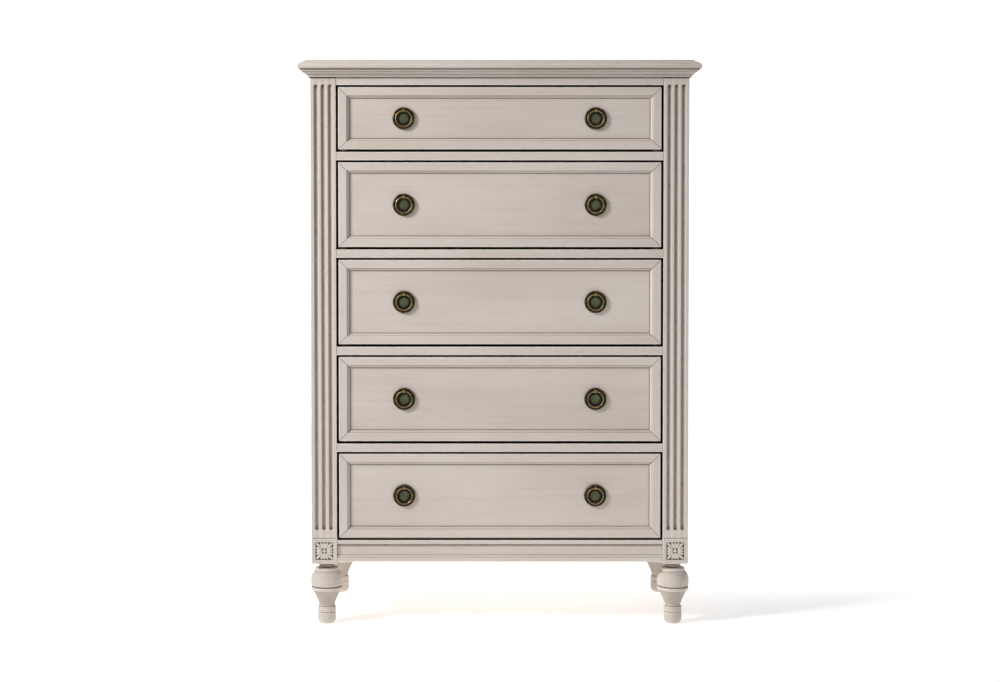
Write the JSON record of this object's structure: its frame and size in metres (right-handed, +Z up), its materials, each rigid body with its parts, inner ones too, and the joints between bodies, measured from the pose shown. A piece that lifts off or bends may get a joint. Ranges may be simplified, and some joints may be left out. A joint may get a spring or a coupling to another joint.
{
  "type": "chest of drawers",
  "caption": "Tall painted chest with full-width drawers, fluted pilasters, carved corner blocks, turned legs and hinged brass ring pulls.",
  "frame": {"origin": "on the floor, under the middle of the chest's bounding box", "axes": "+Z up, -Y towards the front where the drawers open, +X to the right as seen from the front"},
  "size_m": [0.97, 0.458, 1.3715],
  "materials": {
    "paint": "satin greige paint with brown glaze in the crevices and light worn edges",
    "drawer_wood": "clear sealed light hardwood",
    "plywood": "plain plywood",
    "brass": "antiqued brass with a dark green black patina"
  },
  "bodies": {
    "carcass": {"top_panel": "paint", "cornice_front": "paint", "cornice_left": "paint", "cornice_right": "paint", "top_rail": "paint", "base_rail": "paint", "bottom_board": "paint", "back_panel": "plywood", "pilaster_left": "paint", "rosette_block_left": "paint", "rear_post_left": "paint", "side_panel_left": "paint", "leg_front_left": "paint", "leg_back_left": "paint", "pilaster_right": "paint", "rosette_block_right": "paint", "rear_post_right": "paint", "side_panel_right": "paint", "leg_front_right": "paint", "leg_back_right": "paint", "drawer_divider_1": "paint", "drawer_divider_2": "paint", "drawer_divider_3": "paint", "drawer_divider_4": "paint"},
    "drawer_1": {"drawer_front_1": "paint", "drawer_box_1": "drawer_wood", "drawer_bottom_1": "plywood", "backplate_1_left": "brass", "backplate_1_right": "brass"},
    "pull_ring_1_left": {"ring_1_left": "brass"},
    "pull_ring_1_right": {"ring_1_right": "brass"},
    "drawer_2": {"drawer_front_2": "paint", "drawer_box_2": "drawer_wood", "drawer_bottom_2": "plywood", "backplate_2_left": "brass", "backplate_2_right": "brass"},
    "pull_ring_2_left": {"ring_2_left": "brass"},
    "pull_ring_2_right": {"ring_2_right": "brass"},
    "drawer_3": {"drawer_front_3": "paint", "drawer_box_3": "drawer_wood", "drawer_bottom_3": "plywood", "backplate_3_left": "brass", "backplate_3_right": "brass"},
    "pull_ring_3_left": {"ring_3_left": "brass"},
    "pull_ring_3_right": {"ring_3_right": "brass"},
    "drawer_4": {"drawer_front_4": "paint", "drawer_box_4": "drawer_wood", "drawer_bottom_4": "plywood", "backplate_4_left": "brass", "backplate_4_right": "brass"},
    "pull_ring_4_left": {"ring_4_left": "brass"},
    "pull_ring_4_right": {"ring_4_right": "brass"},
    "drawer_5": {"drawer_front_5": "paint", "drawer_box_5": "drawer_wood", "drawer_bottom_5": "plywood", "backplate_5_left": "brass", "backplate_5_right": "brass"},
    "pull_ring_5_left": {"ring_5_left": "brass"},
    "pull_ring_5_right": {"ring_5_right": "brass"}
  },
  "joints": [
    {"name": "drawer_1_slide", "type": "slide", "parent": "carcass", "child": "drawer_1", "axis": [0, -1, 0], "range_m": [0, 0.3]},
    {"name": "ring_1_left_hinge", "type": "hinge", "parent": "drawer_1", "child": "pull_ring_1_left", "pos_m": [-0.232, -0.2001, 1.2496], "axis": [-1, 0, 0], "range_deg": [0, 95]},
    {"name": "ring_1_right_hinge", "type": "hinge", "parent": "drawer_1", "child": "pull_ring_1_right", "pos_m": [0.232, -0.2001, 1.2496], "axis": [-1, 0, 0], "range_deg": [0, 95]},
    {"name": "drawer_2_slide", "type": "slide", "parent": "carcass", "child": "drawer_2", "axis": [0, -1, 0], "range_m": [0, 0.3]},
    {"name": "ring_2_left_hinge", "type": "hinge", "parent": "drawer_2", "child": "pull_ring_2_left", "pos_m": [-0.232, -0.2001, 1.04143], "axis": [-1, 0, 0], "range_deg": [0, 95]},
    {"name": "ring_2_right_hinge", "type": "hinge", "parent": "drawer_2", "child": "pull_ring_2_right", "pos_m": [0.232, -0.2001, 1.04143], "axis": [-1, 0, 0], "range_deg": [0, 95]},
    {"name": "drawer_3_slide", "type": "slide", "parent": "carcass", "child": "drawer_3", "axis": [0, -1, 0], "range_m": [0, 0.3]},
    {"name": "ring_3_left_hinge", "type": "hinge", "parent": "drawer_3", "child": "pull_ring_3_left", "pos_m": [-0.232, -0.2001, 0.80608], "axis": [-1, 0, 0], "range_deg": [0, 95]},
    {"name": "ring_3_right_hinge", "type": "hinge", "parent": "drawer_3", "child": "pull_ring_3_right", "pos_m": [0.232, -0.2001, 0.80608], "axis": [-1, 0, 0], "range_deg": [0, 95]},
    {"name": "drawer_4_slide", "type": "slide", "parent": "carcass", "child": "drawer_4", "axis": [0, -1, 0], "range_m": [0, 0.3]},
    {"name": "ring_4_left_hinge", "type": "hinge", "parent": "drawer_4", "child": "pull_ring_4_left", "pos_m": [-0.232, -0.2001, 0.57073], "axis": [-1, 0, 0], "range_deg": [0, 95]},
    {"name": "ring_4_right_hinge", "type": "hinge", "parent": "drawer_4", "child": "pull_ring_4_right", "pos_m": [0.232, -0.2001, 0.57073], "axis": [-1, 0, 0], "range_deg": [0, 95]},
    {"name": "drawer_5_slide", "type": "slide", "parent": "carcass", "child": "drawer_5", "axis": [0, -1, 0], "range_m": [0, 0.3]},
    {"name": "ring_5_left_hinge", "type": "hinge", "parent": "drawer_5", "child": "pull_ring_5_left", "pos_m": [-0.232, -0.2001, 0.33537], "axis": [-1, 0, 0], "range_deg": [0, 95]},
    {"name": "ring_5_right_hinge", "type": "hinge", "parent": "drawer_5", "child": "pull_ring_5_right", "pos_m": [0.232, -0.2001, 0.33537], "axis": [-1, 0, 0], "range_deg": [0, 95]}
  ]
}
